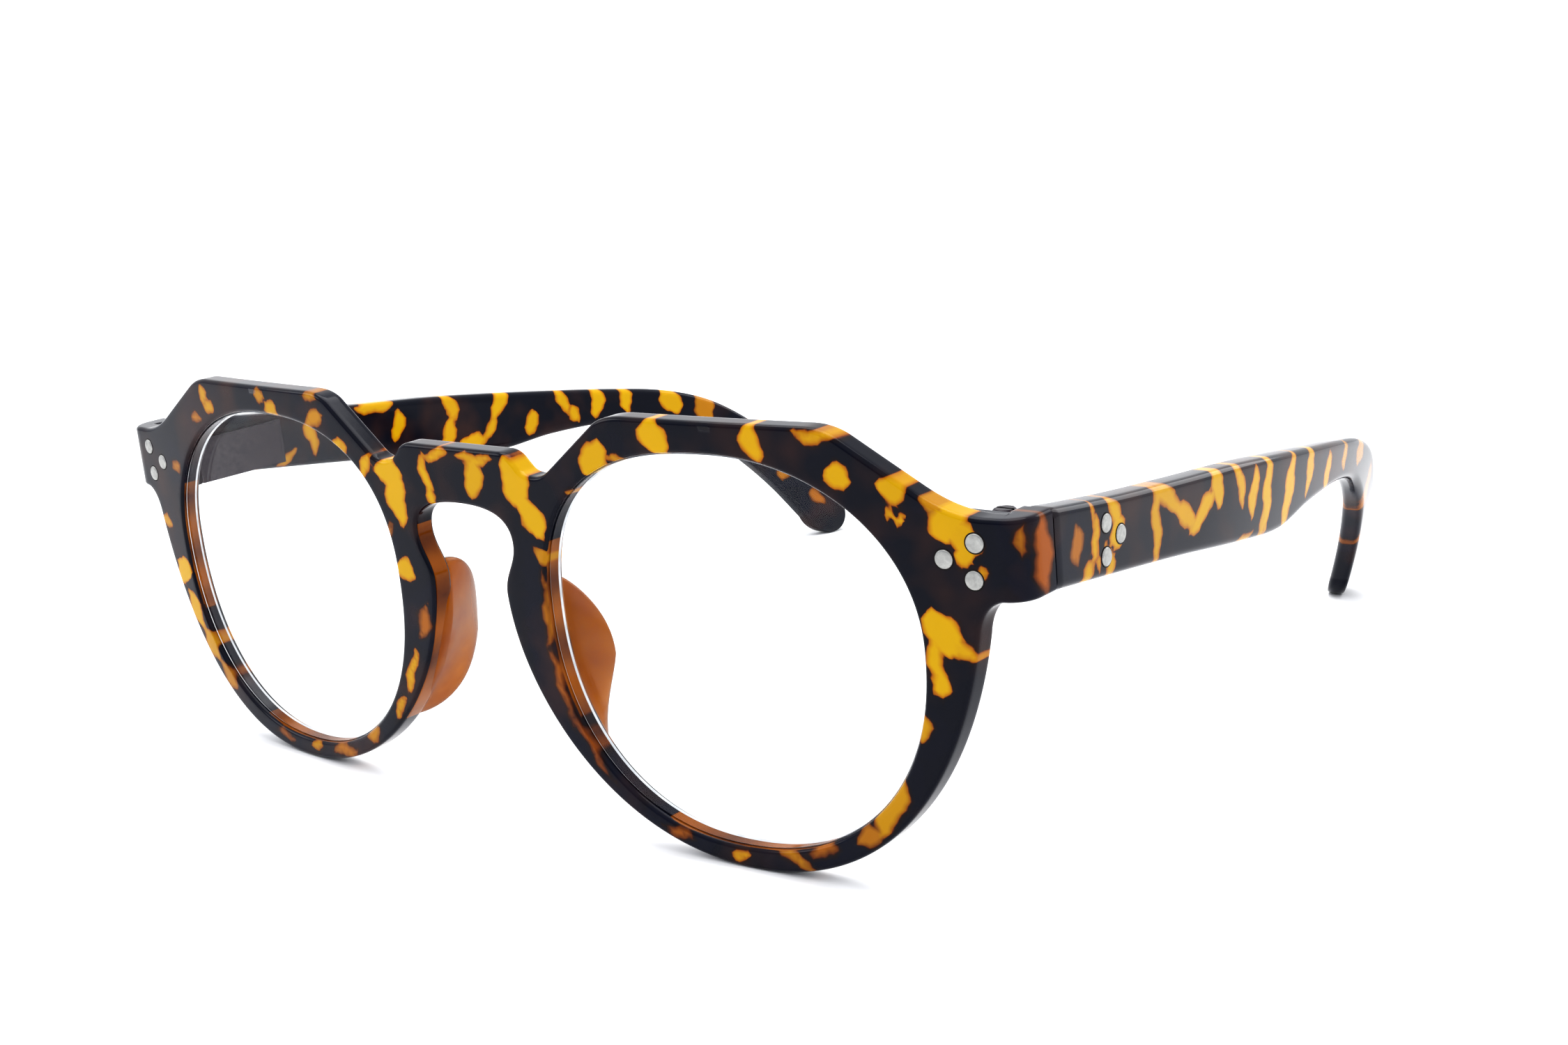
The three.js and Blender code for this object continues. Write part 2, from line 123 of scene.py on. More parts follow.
def add_camera():
    """The photograph's camera, which is given in the front's frame."""
    azimuth, elevation, roll = (math.radians(a) for a in CAMERA_ANGLES)
    spot = placed([CAMERA_SPOT])[0]
    back = np.array([math.sin(azimuth) * math.cos(elevation),
                     -math.cos(azimuth) * math.cos(elevation),
                     math.sin(elevation)])
    right = np.cross(-back, [0, 0, 1])
    right /= np.linalg.norm(right)
    down = np.cross(-back, right)
    c, s = math.cos(roll), math.sin(roll)
    right, down = c * right - s * down, s * right + c * down
    axes = np.array([right, -down, back]) @ TURN.T
    data = bpy.data.cameras.new("camera")
    data.sensor_width = SENSOR_WIDTH
    data.lens = CAMERA_LENS
    data.clip_start = 0.01
    camera = bpy.data.objects.new("camera", data)
    bpy.context.scene.collection.objects.link(camera)
    matrix = Matrix(axes.T.tolist()).to_4x4()
    matrix.translation = Vector(spot)
    camera.matrix_world = matrix
    bpy.context.scene.camera = camera


def add_light(name, spot, size, power, aim=(0, 0, 0.02)):
    data = bpy.data.lights.new(name, "AREA")
    data.shape = "DISK"
    data.size = size
    data.energy = power
    light = bpy.data.objects.new(name, data)
    light.location = spot
    light.rotation_euler = (Vector(aim) - Vector(spot)).to_track_quat("-Z", "Y").to_euler()
    bpy.context.scene.collection.objects.link(light)


# ---- materials -----------------------------------------------------------------------------------
def new_material(name, **inputs):
    material = bpy.data.materials.new(name)
    material.use_nodes = True
    shader = material.node_tree.nodes["Principled BSDF"]
    for key, value in inputs.items():
        shader.inputs[key.replace("_", " ")].default_value = value
    return material, material.node_tree, shader


def add_node(tree, kind, **values):
    node = tree.nodes.new(kind)
    for key, value in values.items():
        if hasattr(node, key):
            setattr(node, key, value)
        else:
            node.inputs[key.replace("_", " ")].default_value = value
    return node


def ramp(tree, stops):
    node = tree.nodes.new("ShaderNodeValToRGB")
    elements = node.color_ramp.elements
    while len(elements) > 1:
        elements.remove(elements[-1])
    for i, (position, color) in enumerate(stops):
        element = elements[0] if i == 0 else elements.new(position)
        element.position = position
        element.color = (*color, 1)
    return node


def noise(tree, scale, detail=3, roughness=0.5):
    coordinates = tree.nodes.new("ShaderNodeTexCoord")
    node = add_node(tree, "ShaderNodeTexNoise", Scale=scale, Detail=detail, Roughness=roughness)
    tree.links.new(coordinates.outputs["Object"], node.inputs["Vector"])
    return node


def mottled(tree, scale, stops, detail=3, roughness=0.5):
    """A colour that wanders between the stops of a ramp."""
    texture = noise(tree, scale, detail, roughness)
    color = ramp(tree, stops)
    tree.links.new(texture.outputs["Fac"], color.inputs["Fac"])
    return color.outputs["Color"]


def fine_surface(tree, shader, low, high, scale=700, bump=0.00002):
    """Roughness that varies a little and a faint orange-peel bump."""
    texture = noise(tree, scale)
    spread = add_node(tree, "ShaderNodeMapRange", To_Min=low, To_Max=high)
    tree.links.new(texture.outputs["Fac"], spread.inputs["Value"])
    tree.links.new(spread.outputs["Result"], shader.inputs["Roughness"])
    relief = add_node(tree, "ShaderNodeBump", Strength=0.15, Distance=bump)
    tree.links.new(texture.outputs["Fac"], relief.inputs["Height"])
    tree.links.new(relief.outputs["Normal"], shader.inputs["Normal"])


def tortoiseshell():
    material, tree, shader = new_material("tortoiseshell", IOR=1.45, Specular_IOR_Level=0.24)
    depth = add_node(tree, "ShaderNodeAttribute", attribute_name="patch_depth")
    tone = add_node(tree, "ShaderNodeAttribute", attribute_name="patch_tone")
    # Noise is added to the depth, so that the patches' edges are ragged.
    ragged = noise(tree, 220, detail=4, roughness=0.55)
    sway = add_node(tree, "ShaderNodeMath", operation="MULTIPLY_ADD")
    sway.inputs[1].default_value = 0.5
    sway.inputs[2].default_value = -0.10
    tree.links.new(ragged.outputs["Fac"], sway.inputs[0])
    total = add_node(tree, "ShaderNodeMath", operation="ADD")
    tree.links.new(depth.outputs["Fac"], total.inputs[0])
    tree.links.new(sway.outputs[0], total.inputs[1])
    # Both ramps run from 0.5 mm outside a patch to 0.6 mm inside it.
    reach = add_node(tree, "ShaderNodeMapRange", From_Min=-0.5, From_Max=0.6)
    tree.links.new(total.outputs[0], reach.inputs["Value"])
    bright = ramp(tree, [(0.0, (0.004, 0.005, 0.012)), (0.36, (0.010, 0.005, 0.006)),
                         (0.42, (0.13, 0.025, 0.003)), (0.50, (0.38, 0.13, 0.002)),
                         (0.75, (0.50, 0.26, 0.001)), (1.0, (0.55, 0.33, 0.001))])
    deep = ramp(tree, [(0.0, (0.005, 0.006, 0.016)), (0.30, (0.014, 0.006, 0.006)),
                       (0.60, (0.13, 0.030, 0.006)), (1.0, (0.30, 0.075, 0.010))])
    tree.links.new(reach.outputs["Result"], bright.inputs["Fac"])
    tree.links.new(reach.outputs["Result"], deep.inputs["Fac"])
    blend = add_node(tree, "ShaderNodeMix", data_type="RGBA")
    tree.links.new(tone.outputs["Fac"], blend.inputs["Factor"])
    tree.links.new(bright.outputs["Color"], blend.inputs[6])
    tree.links.new(deep.outputs["Color"], blend.inputs[7])
    # Faint brown clouds in the dark ground are painted glow for the light that gets through the plastic.
    glow_clouds = mottled(tree, 130, [(0.48, (0, 0, 0)), (0.72, (0.030, 0.010, 0.002))], detail=2)
    both = add_node(tree, "ShaderNodeMix", data_type="RGBA", blend_type="ADD")
    both.inputs["Factor"].default_value = 1.0
    tree.links.new(blend.outputs[2], both.inputs[6])
    tree.links.new(glow_clouds, both.inputs[7])
    tree.links.new(both.outputs[2], shader.inputs["Base Color"])
    fine_surface(tree, shader, 0.08, 0.14)
    return material


def amber():
    material, tree, shader = new_material("amber", IOR=1.4, Specular_IOR_Level=0.3, Transmission_Weight=0.3)
    color = mottled(tree, 160, [(0.3, (0.34, 0.085, 0.004)), (0.7, (0.48, 0.16, 0.010))])
    # Painted shade: its outline is darker, where the eye looks along more of the plastic.
    slant = add_node(tree, "ShaderNodeLayerWeight", Blend=0.35)
    rim = ramp(tree, [(0.35, (1, 1, 1)), (0.9, (0.05, 0.03, 0.03))])
    tree.links.new(slant.outputs["Facing"], rim.inputs["Fac"])
    shaded = add_node(tree, "ShaderNodeMix", data_type="RGBA", blend_type="MULTIPLY")
    shaded.inputs["Factor"].default_value = 1.0
    tree.links.new(color, shaded.inputs[6])
    tree.links.new(rim.outputs["Color"], shaded.inputs[7])
    tree.links.new(shaded.outputs[2], shader.inputs["Base Color"])
    fine_surface(tree, shader, 0.12, 0.22)
    return material


def painted_gap_shade():
    # Painted shade, nearly black, for the gap round each rivet.
    material, tree, shader = new_material("painted_gap_shade", Specular_IOR_Level=0.2)
    color = mottled(tree, 900, [(0.3, (0.004, 0.003, 0.003)), (0.7, (0.012, 0.009, 0.008))])
    tree.links.new(color, shader.inputs["Base Color"])
    fine_surface(tree, shader, 0.4, 0.6)
    return material


def clear_lens():
    """A clear sheet with a faint reflection, which neither bends nor shades what is behind it."""
    material = bpy.data.materials.new("clear_lens")
    material.use_nodes = True
    tree = material.node_tree
    tree.nodes.remove(tree.nodes["Principled BSDF"])
    through = add_node(tree, "ShaderNodeBsdfTransparent")
    through.inputs["Color"].default_value = (0.985, 0.99, 0.99, 1)
    gloss = add_node(tree, "ShaderNodeBsdfGlossy", Roughness=0.02)
    slant = add_node(tree, "ShaderNodeLayerWeight", Blend=0.5)
    steep = add_node(tree, "ShaderNodeMath", operation="POWER")
    steep.inputs[1].default_value = 4
    share = add_node(tree, "ShaderNodeMath", operation="MULTIPLY_ADD")
    share.inputs[1].default_value = 0.30
    share.inputs[2].default_value = 0.012
    mix = add_node(tree, "ShaderNodeMixShader")
    tree.links.new(slant.outputs["Facing"], steep.inputs[0])
    tree.links.new(steep.outputs[0], share.inputs[0])
    tree.links.new(share.outputs[0], mix.inputs["Fac"])
    tree.links.new(through.outputs["BSDF"], mix.inputs[1])
    tree.links.new(gloss.outputs["BSDF"], mix.inputs[2])
    output = tree.nodes["Material Output"]
    tree.links.new(mix.outputs["Shader"], output.inputs["Surface"])
    return material


def lens_edge_highlight():
    material, tree, shader = new_material("lens_edge_highlight", IOR=1.5, Coat_Weight=0.5)
    # The grey-white colour is a painted highlight for the light that the lens's edge bends and reflects.
    color = mottled(tree, 500, [(0.3, (0.62, 0.64, 0.66)), (0.7, (0.86, 0.87, 0.88))])
    tree.links.new(color, shader.inputs["Base Color"])
    fine_surface(tree, shader, 0.15, 0.3)
    return material


def satin_metal(name, dark, light):
    material, tree, shader = new_material(name, Metallic=1.0)
    color = mottled(tree, 1600, [(0.3, dark), (0.7, light)], detail=5, roughness=0.7)
    tree.links.new(color, shader.inputs["Base Color"])
    fine_surface(tree, shader, 0.28, 0.45, scale=1800, bump=0.00003)
    return material


# ---- amber patches ---------------------------------------------------------------------------------
# Each patch is (across, up, length, width, angle in degrees of its length, tone).  It reaches 1.1 times the
# length and 1.2 times the width from its middle.  Tone 0 is yellow amber and 1 a deep red brown.  On the
# front, across is the distance from the middle.
LEAF_REACH = 1.24
FAR_OUTSIDE = -3.0
FRONT_LEFT = [
    (3.9, 4.5, 2.5, 0.5, 0, 0.1), (3.1, 2.3, 2.4, 1.1, 75, 0.1), (9.6, 2.3, 3.0, 1.5, 112, 0),
    (11.6, -1.4, 2.4, 1.35, 130, 0), (21.6, 5.6, 2.4, 1.4, 68, 0.05), (25.1, 5.5, 1.3, 0.35, -20, 0.3),
    (30.1, 8.5, 1.9, 1.5, 100, 0), (42.3, 8.4, 1.9, 0.95, 103, 0.05), (49.7, 9.5, 2.2, 0.5, -5, 0.2),
    (51.9, 5.6, 1.5, 1.0, -10, 0.05), (57.8, 4.8, 1.5, 1.1, -15, 0.1), (57.0, 2.4, 0.5, 0.45, 0, 0.2),
    (58.4, 2.0, 0.5, 0.5, 0, 0.1), (63.2, 1.9, 1.9, 1.5, 100, 0.05), (65.2, 0.2, 1.5, 1.3, 90, 0.1),
    (64.6, -1.5, 0.9, 0.9, 0, 0.1), (66.7, -2.7, 0.7, 0.35, 110, 0.2), (61.6, 3.6, 1.0, 0.8, -30, 0.5),
    (61.9, -8.9, 2.2, 1.6, 115, 0), (63.6, -10.6, 2.0, 0.5, 150, 0.1), (61.1, -11.9, 3.2, 0.6, 96, 0),
    (61.3, -14.4, 1.1, 0.8, 60, 0), (59.1, -19.0, 1.4, 0.6, 100, 0.3),
    (54.9, -27.5, 3.4, 1.2, 62, 0.35), (51.9, -31.3, 1.5, 0.8, 40, 0.7),
    (42.8, -35.2, 2.0, 0.4, -18, 0.6), (35.8, -35.8, 1.1, 0.5, 0, 0.25),
    (27.6, -34.8, 1.6, 0.35, -12, 0.9), (12.3, -5.6, 0.9, 0.8, 60, 0.5),
    (12.2, -12.0, 3.6, 0.3, 88, 0.75), (12.9, -19.5, 4.0, 0.3, 104, 0.9),
    (16.4, -26.6, 3.4, 0.25, 126, 0.95), (17.6, 1.9, 0.5, 0.3, 0, 0.4),
    (73.2, -1.7, 3.6, 1.1, 90, 0.95), (70.6, 0.4, 1.2, 0.3, 80, 0.7), (46.5, -33.6, 1.8, 0.5, 20, 0.85),
]
FRONT_RIGHT = [
    (2.9, 4.5, 1.7, 0.5, -10, 0.1), (4.9, 2.2, 2.2, 0.55, 80, 0), (4.4, -0.3, 1.0, 0.5, 60, 0.05),
    (10.6, -0.5, 3.9, 1.35, 84, 0), (11.4, 2.0, 2.3, 1.3, 0, 0), (15.4, 2.2, 1.6, 0.6, -50, 0.05),
    (20.0, 4.2, 1.4, 0.55, 25, 0.15), (24.2, 7.1, 1.7, 0.8, -20, 0.5), (24.9, 9.7, 1.3, 0.4, 10, 0.5),
    (26.0, 6.2, 0.9, 0.35, -10, 0.35), (33.2, 7.6, 1.4, 0.75, 10, 0.25),
    (35.6, 9.4, 1.0, 0.7, -20, 0.5), (48.9, 8.6, 1.2, 0.6, 75, 0.3), (47.5, 6.8, 1.3, 0.6, 20, 0.3),
    (51.6, 5.1, 1.2, 0.5, 0, 0.7), (58.8, -1.9, 1.2, 0.5, -30, 0.7), (64.0, -10.0, 1.2, 0.65, 0, 0.4),
    (61.7, -16.3, 1.8, 1.5, 40, 0.05), (60.0, -21.6, 2.6, 1.0, 62, 0.15),
    (57.2, -25.8, 2.6, 0.9, 55, 0.35), (53.8, -29.6, 2.4, 0.7, 40, 0.6),
    (10.6, -9.7, 1.6, 1.1, 10, 0.05), (12.1, -22.0, 2.8, 0.55, 118, 0.15),
    (15.3, -27.3, 1.9, 0.45, 130, 0.2), (8.6, -15.5, 2.2, 0.7, 115, 0.85),
    (21.6, -31.6, 1.5, 0.6, -25, 0.55), (28.0, -35.0, 2.4, 0.6, -8, 0.75),
    (34.2, -35.5, 1.1, 0.4, 0, 0.4), (41.2, -35.4, 1.6, 0.35, 5, 0.9), (12.4, -4.8, 0.9, 0.4, 80, 0.8),
]
# On the temples, across is the distance back from the front.
TEMPLE_LEFT = [
    (18.3, -2.4, 3.4, 0.5, 92, 0.1), (16.2, -6.0, 1.8, 0.6, 60, 0.2), (14.6, -2.4, 1.8, 0.9, 90, 0.8),
    (22.3, -0.9, 1.8, 0.8, 110, 0.1), (22.8, -3.2, 1.6, 1.2, 100, 0.1),
    (20.8, -5.9, 2.0, 0.7, 100, 0.2), (30.9, -4.3, 4.4, 0.75, 88, 0.25),
    (33.8, -2.6, 3.6, 0.8, 150, 0.2), (37.4, -5.4, 2.6, 1.0, 140, 0.2), (41.4, -6.0, 3.2, 0.9, 28, 0.1),
    (45.4, -3.9, 2.6, 1.1, 92, 0.1), (51.0, -5.4, 2.8, 0.7, 104, 0.15), (54.6, -7.2, 2.6, 1.0, 72, 0.1),
    (52.0, -12.0, 2.6, 0.4, 10, 0.3), (58.6, -8.0, 4.6, 0.95, 82, 0.05),
    (57.2, -11.4, 2.0, 0.6, 78, 0.2), (65.4, -9.9, 4.8, 1.1, 70, 0.05), (72.8, -8.8, 3.0, 1.0, 74, 0.1),
    (80.0, -11.0, 2.4, 0.9, 80, 0.15), (87.5, -11.2, 1.8, 0.8, 95, 0.4),
    (96.0, -12.6, 1.9, 1.6, 60, 0.6), (106.0, -20.0, 3.2, 1.3, 100, 0.8),
    (113.5, -27.0, 2.8, 1.2, 60, 0.85),
]
TEMPLE_RIGHT = [
    (14.2, -3.0, 2.5, 1.3, 90, 0.6), (22.0, -5.5, 1.6, 0.8, 70, 0.5), (31.0, -3.6, 3.4, 0.7, 95, 0.25),
    (26.6, -6.6, 1.5, 0.5, 30, 0.4), (42.5, -2.5, 3.2, 0.9, -4, 0.1), (46.0, -6.3, 2.2, 0.9, 75, 0.05),
    (55.8, -5.5, 2.3, 0.9, 108, 0.1), (54.6, -9.8, 3.0, 0.9, 62, 0.1),
    (58.8, -11.6, 2.3, 1.1, -10, 0.05), (64.8, -6.6, 2.6, 1.0, 60, 0), (62.3, -10.0, 1.8, 0.6, 55, 0.1),
    (70.0, -10.9, 2.0, 0.9, 70, 0.1), (76.4, -8.4, 2.1, 0.75, 98, 0.05),
    (78.2, -11.4, 1.4, 0.7, 120, 0.1), (82.8, -10.2, 2.6, 1.0, 75, 0.0),
    (88.2, -10.6, 2.3, 0.9, 88, 0.0), (96.6, -12.6, 2.4, 1.6, 100, 0.1),
    (102.6, -15.0, 2.2, 1.6, 110, 0.6), (109.6, -20.5, 2.0, 1.0, 60, 0.55),
    (114.5, -27.5, 2.2, 1.3, 60, 0.7), (118.5, -33.5, 1.5, 0.8, 120, 0.8),
]


def patch_fields(across, up, patches):
    """Depth inside the nearest patch in mm, negative outside, and that patch's tone."""
    # A slow and a fast wave let the outlines wander.
    across = across + 0.25 * np.sin(1.5 * up + 0.7) + 0.08 * np.sin(4.3 * up + 1.1 * across)
    up = up + 0.25 * np.sin(1.4 * across + 2.1) + 0.08 * np.sin(4.9 * across - 1.3 * up)
    depth = np.full(len(across), FAR_OUTSIDE)
    tone = np.zeros(len(across))
    for x, z, length, width, angle, shade in patches:
        c, s = math.cos(math.radians(angle)), math.sin(math.radians(angle))
        along = ((across - x) * c + (up - z) * s) / length
        over = (-(across - x) * s + (up - z) * c) / width
        # A leaf, widest in the middle and pointed at both ends.
        reach = (LEAF_REACH - along ** 2 - np.abs(over)) * width
        tone = np.where(reach > depth, shade, tone)
        depth = np.maximum(depth, reach)
    return depth, tone


def paint(mesh, depth, tone):
    for name, values in (("patch_depth", depth), ("patch_tone", tone)):
        layer = mesh.attributes.new(name, "FLOAT", "POINT")
        layer.data.foreach_set("value", np.asarray(values, np.float32))


# ---- mesh helpers ----------------------------------------------------------------------------------
def new_object(name, points, faces, material):
    """A smooth mesh from points in mm; its curves are finer than the CAD's but keep to the CAD's box."""
    mesh = bpy.data.meshes.new(name)
    low, high = (np.array(corner) for corner in cad_box)
    spots = np.clip(placed(points), low, high)
    mesh.from_pydata(spots.tolist(), [], [list(map(int, f)) for f in faces])
    mesh.validate()
    mesh.shade_smooth()
    mesh.set_sharp_from_angle(angle=math.radians(40))
    piece = bpy.data.objects.new(name, mesh)
    bpy.context.scene.collection.objects.link(piece)
    mesh.materials.append(material)
    return piece


def recalculated(piece):
    """Turns every face outwards."""
    mesh = bmesh.new()
    mesh.from_mesh(piece.data)
    bmesh.ops.recalc_face_normals(mesh, faces=mesh.faces)
    mesh.to_mesh(piece.data)
    mesh.free()


def finished(piece, body, slot, *nodes):
    """Says which body the piece moves with and hides the CAD nodes it stands in for; slot, what it is made
    of, is not used.
    """
    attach(piece, body)
    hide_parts(*nodes)


class Outline:
    """A pen that leaves a point about every STEP mm."""
    STEP = 0.45

    def __init__(self, x, z):
        self.points = [np.array([x, z], float)]

    def cubic(self, *xz):
        a = self.points[-1]
        b, c, d = (np.array(p, float) for p in (xz[0:2], xz[2:4], xz[4:6]))
        length = np.linalg.norm(b - a) + np.linalg.norm(c - b) + np.linalg.norm(d - c)
        steps = max(2, math.ceil(length / self.STEP))
        for i in range(1, steps + 1):
            t = i / steps
            self.points.append(a * (1 - t) ** 3 + 3 * b * t * (1 - t) ** 2
                               + 3 * c * t * t * (1 - t) + d * t ** 3)

    def quad(self, cx, cz, x, z):
        a, b, d = self.points[-1], np.array([cx, cz]), np.array([x, z])
        self.cubic(*(a + (b - a) * 2 / 3), *(d + (b - d) * 2 / 3), x, z)

    def line(self, x, z):
        a, d = self.points[-1], np.array([x, z])
        self.cubic(*(a + (d - a) / 3), *(a + (d - a) * 2 / 3), x, z)


def front_outline():
    """The whole outline, drawn flat: beyond CORNER_START it is wrapped round the corner to the side."""
    pen = Outline(0, 5.5)
    pen.line(7.4, 5.5)
    pen.quad(8.7, 5.45, 9.6, 4.4)
    pen.line(10.4, 3.6)
    pen.quad(11.0, 3.15, 12.2, 3.1)
    pen.quad(13.6, 3.1, 14.6, 3.9)
    pen.line(21.6, 9.3)
    pen.quad(23.0, 10.3, 25.6, 10.35)
    pen.line(48.2, 10.3)
    pen.quad(50.4, 10.25, 52.2, 9.15)
    pen.line(59.8, 4.55)
    pen.quad(63.2, 2.5, 66.6, END_TOP)
    # The end runs on past the joint, where it is cut square once its edges are rounded.
    pen.line(FLAT_END + 0.3, END_TOP)
    pen.quad(FLAT_END + 2.0, END_TOP, FLAT_END + 2.0, END_TOP - 1.7)
    pen.line(FLAT_END + 2.0, END_BOTTOM + 1.7)
    pen.quad(FLAT_END + 2.0, END_BOTTOM, FLAT_END + 0.3, END_BOTTOM)
    pen.line(68.2, END_BOTTOM)
    pen.quad(66.0, -6.2, 65.6, -9.5)
    pen.cubic(63.3, -22, 56, -37.3, 37, -37.3)
    pen.cubic(18.5, -37.3, 6.6, -22.5, 6.0, -10.5)
    pen.cubic(6.0, -8.2, 7.9, -7.0, 7.9, -4.8)
    pen.cubic(7.9, -1.6, 4.2, -0.9, 0, -0.9)
    left = np.array(pen.points)
    right = left[1:-1][::-1] * [-1, 1]
    return np.vstack([left, right])


def eye_outline(grow=0.0, steps=70, side=1):
    """A lens opening in four quarters, each with its height and the power of its superellipse."""
    points = []
    quarters = ((0, EYE_ABOVE, 2.1), (90, EYE_ABOVE, 2.45), (180, EYE_BELOW, 2.2), (270, EYE_BELOW, 2.2))
    for start, height, power in quarters:
        for i in range(steps):
            angle = math.radians(start + 90 * i / steps)
            c, s = math.cos(angle), math.sin(angle)
            x = math.copysign(abs(c) ** (2 / power), c) * (EYE_HALF_WIDTH + grow)
            z = math.copysign(abs(s) ** (2 / power), s) * (height + grow)
            points.append((side * (EYE_X + x), EYE_Z + z))
    return np.array(points)[::side]


def lens_reach(across, up):
    """About 1 on the outline of a lens opening, less inside it and more outside."""
    height = np.where(up > EYE_Z, EYE_ABOVE, EYE_BELOW)
    return np.hypot((np.abs(across) - EYE_X) / EYE_HALF_WIDTH, (up - EYE_Z) / height)


def area(ring):
    x, z = ring.T
    return 0.5 * np.sum(x * np.roll(z, -1) - z * np.roll(x, -1))


def inside(points, ring):
    """Even-odd test of points against a closed ring."""
    x, z = points.T
    hit = np.zeros(len(points), bool)
    for (x0, z0), (x1, z1) in zip(ring, np.roll(ring, -1, 0)):
        if z0 == z1:
            continue
        hit ^= ((z0 > z) != (z1 > z)) & (x < (x1 - x0) * (z - z0) / (z1 - z0) + x0)
    return hit


def inset(ring, amount):
    """The ring moved sideways into the material, which lies to the left of its direction."""
    ahead = np.roll(ring, -1, 0) - np.roll(ring, 1, 0)
    ahead /= np.maximum(np.linalg.norm(ahead, axis=1), 1e-9)[:, None]
    return ring + amount * np.c_[-ahead[:, 1], ahead[:, 0]]


def rounded_plate(outer, holes, thickness, radius, grid=0.5, arc=6, wall=4):
    """Points (u, v, depth) and faces of a flat plate with rounded edges, fine enough to be painted."""
    rings = [outer if area(outer) > 0 else outer[::-1]]
    rings += [h if area(h) < 0 else h[::-1] for h in holes]
    turn = np.linspace(0, math.pi / 2, arc + 1)
    section = [(radius * (1 - math.sin(t)), radius * (1 - math.cos(t))) for t in turn]
    straight = np.linspace(radius, thickness - radius, wall + 2)[1:-1]
    section += [(0.0, depth) for depth in straight] + [(d, thickness - y) for d, y in section[::-1]]
    points, faces, caps, edges = [], [], [], []
    # Each ring is swept over the rounded edge, from the front face to the back face.
    for ring in rings:
        base = len(points)
        n = len(ring)
        for amount, depth in section:
            points += [(u, v, depth) for u, v in inset(ring, amount)]
        for row in range(len(section) - 1):
            for i in range(n):
                a, b = base + row * n + i, base + row * n + (i + 1) % n
                faces.append((a, b, b + n, a + n))
        start = len(caps)
        caps += [(base + i, base + (len(section) - 1) * n + i) for i in range(n)]
        edges += [(start + i, start + (i + 1) % n) for i in range(n)]
    points = np.array(points)
    # A grid of loose points fills the flat faces, so that they can be painted.
    flat = points[[front for front, back in caps]][:, :2]
    low, high = flat.min(0), flat.max(0)
    across, up = np.meshgrid(np.arange(low[0], high[0], grid), np.arange(low[1], high[1], grid))
    loose = np.c_[across.ravel(), up.ravel()]
    keep = inside(loose, inset(rings[0], radius + 0.5 * grid))
    for hole in rings[1:]:
        keep &= ~inside(loose, inset(hole, radius + 0.5 * grid))
    loose = loose[keep]
    corners = [Vector(p) for p in np.vstack([flat, loose])]
    spots, _, triangles, origins, _, _ = delaunay_2d_cdt(corners, edges, [], 0, 1e-5)
    first = len(points)
    near, far = np.zeros(len(loose)), np.full(len(loose), thickness)
    points = np.vstack([points, np.c_[loose, near], np.c_[loose, far]])

    def place_of(k, back):
        k = origins[k][0]
        if k < len(caps):
            return caps[k][1 if back else 0]
        return first + (k - len(caps)) + (len(loose) if back else 0)

    # Triangles in the holes and outside the plate are left out.
    centres = np.array([[sum(spots[k][axis] for k in t) / 3 for axis in (0, 1)] for t in triangles])
    solid = inside(centres, inset(rings[0], radius))
    for hole in rings[1:]:
        solid &= ~inside(centres, inset(hole, radius))
    for triangle, real in zip(triangles, solid):
        if real:
            faces.append(tuple(place_of(k, False) for k in triangle))
            faces.append(tuple(place_of(k, True) for k in triangle)[::-1])
    return points, faces


# ---- the front ---------------------------------------------------------------------------------------
def wrapped(points):
    """Flat points of the front bent along its curve, round the corners and back along the sides."""
    u, v, depth = np.abs(points[:, 0]), points[:, 1], points[:, 2]
    turn = np.clip((u - CORNER_START) / END_CORNER, 0, math.pi / 2 - CORNER_ANGLE) + CORNER_ANGLE
    beyond = np.maximum(0, u - CORNER_END)
    # Round the corner the wall grows to the side wall's thickness.
    grown = np.clip((u - CORNER_START + THICKENING) / (CORNER_END - CORNER_START + THICKENING), 0, 1)
    deep = depth * (1 + (END_WALL / FRONT_THICK - 1) * grown)
    # On the corner itself the inner side can't pass the corner's own centre.
    turning = (u > CORNER_START) & (beyond == 0)
    radius = END_CORNER - np.where(turning, np.minimum(deep, END_CORNER - 0.1), deep)
    x_corner = CORNER_X + radius * np.sin(turn)
    y_corner = CORNER_Y - radius * np.cos(turn) + beyond
    rounding = u > CORNER_START
    x = np.where(rounding, x_corner, u)
    # The bridge is flat between its two upper corners.
    y = np.where(rounding, y_corner, face_y(np.maximum(u, BRIDGE_FLAT)) + depth)
    return np.c_[np.sign(points[:, 0]) * x, y, v]


def cut_square(points, faces, limit):
    """Cuts off what lies beyond u = limit on either side and closes the cuts."""
    mesh = bpy.data.meshes.new("cut")
    mesh.from_pydata(points.tolist(), [], [list(map(int, f)) for f in faces])
    work = bmesh.new()
    work.from_mesh(mesh)
    for side in (1, -1):
        everything = work.verts[:] + work.edges[:] + work.faces[:]
        made = bmesh.ops.bisect_plane(work, geom=everything, plane_co=(side * limit, 0, 0),
                                      plane_no=(side, 0, 0), clear_outer=True)
        rim = [e for e in made["geom_cut"] if isinstance(e, bmesh.types.BMEdge)]
        bmesh.ops.holes_fill(work, edges=rim)
    bmesh.ops.recalc_face_normals(work, faces=work.faces)
    work.to_mesh(mesh)
    work.free()
    cut_points = np.array([v.co for v in mesh.vertices])
    cut_faces = [tuple(f.vertices) for f in mesh.polygons]
    bpy.data.meshes.remove(mesh)
    return cut_points, cut_faces


def hinge_block():
    """The filled part behind the corner, which the hinge is screwed against."""
    outline = np.array([[60.8, HINGE_SEAT], [60.8, 6.6], [63.4, 4.9], [68.6, 6.2], [68.6, HINGE_SEAT]])
    points, faces = rounded_plate(outline, [], END_TOP - END_BOTTOM - 0.2, 0.35, grid=1.5, arc=3, wall=8)
    return points + [0, 0, END_BOTTOM + 0.1], faces
